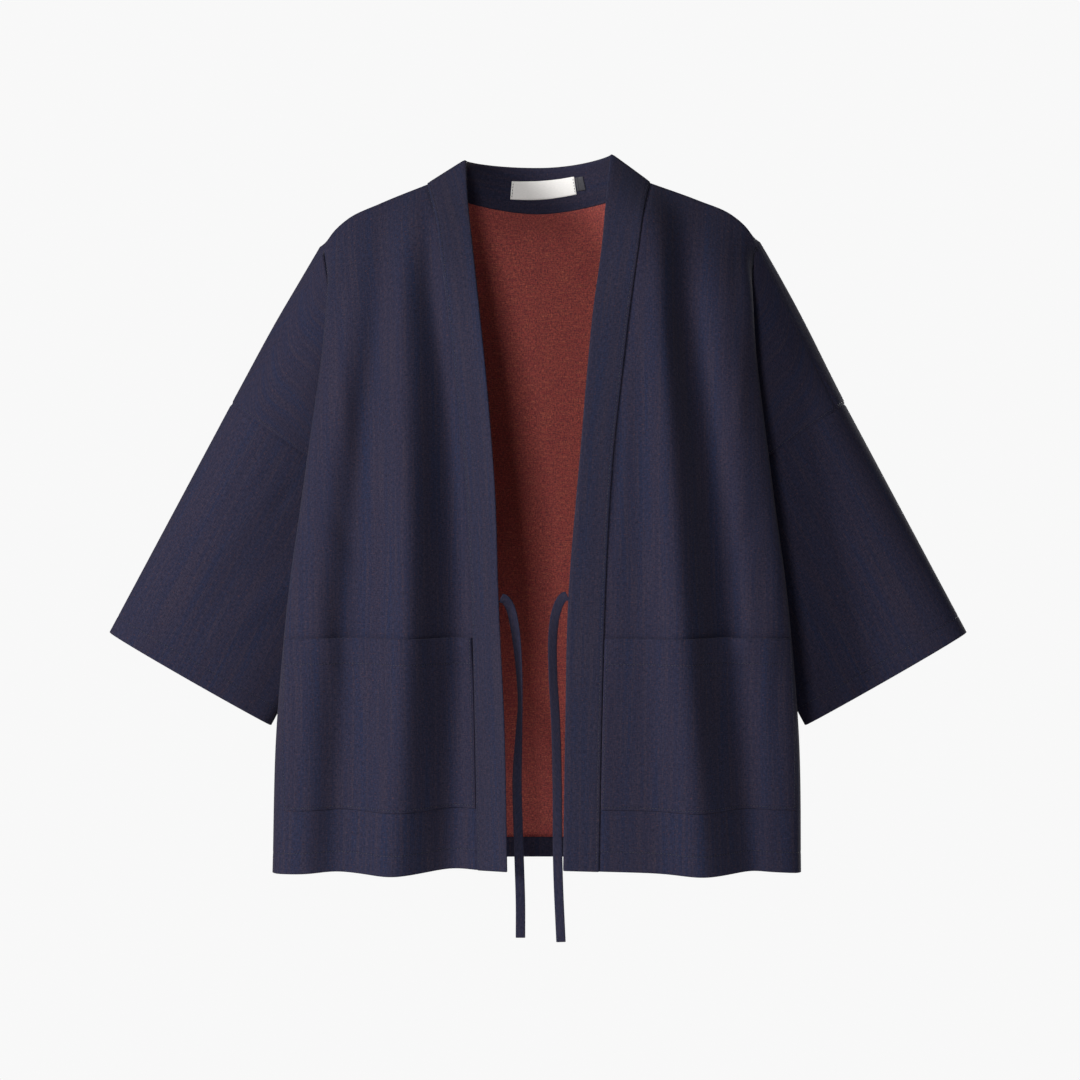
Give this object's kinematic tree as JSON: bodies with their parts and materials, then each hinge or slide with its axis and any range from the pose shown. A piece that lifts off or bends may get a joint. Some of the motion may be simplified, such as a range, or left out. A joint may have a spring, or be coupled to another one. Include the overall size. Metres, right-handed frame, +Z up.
{
  "type": "kimono jacket",
  "caption": "Open-front kimono jacket with wide straight sleeves, a long collar band, patch pockets and two narrow ties, filled out as worn.",
  "frame": {"origin": "midway between the two points where the shoulder seams meet the collar band, where the jacket hangs on the wearer's shoulders", "axes": "+X to the wearer's left, along the span of the sleeves; +Y to the back; +Z up"},
  "size_m": [0.899, 0.2686, 0.8174],
  "materials": {
    "navy_cloth": "matt woven cloth, navy outside and rust red inside",
    "navy_band": "matt woven cloth, doubled, navy on both sides",
    "label_cloth": "smooth white woven tape, blank",
    "tab_cloth": "smooth charcoal woven tape, blank"
  },
  "bodies": {
    "root": {"back_panel": "navy_cloth", "front_right": "navy_cloth", "front_left": "navy_cloth", "sleeve_right": "navy_cloth", "sleeve_left": "navy_cloth", "collar_band": "navy_band", "pocket_right": "navy_cloth", "pocket_left": "navy_cloth", "tie_right": "navy_band", "tie_left": "navy_band", "neck_label": "label_cloth", "size_tab": "tab_cloth"}
  },
  "joints": []
}
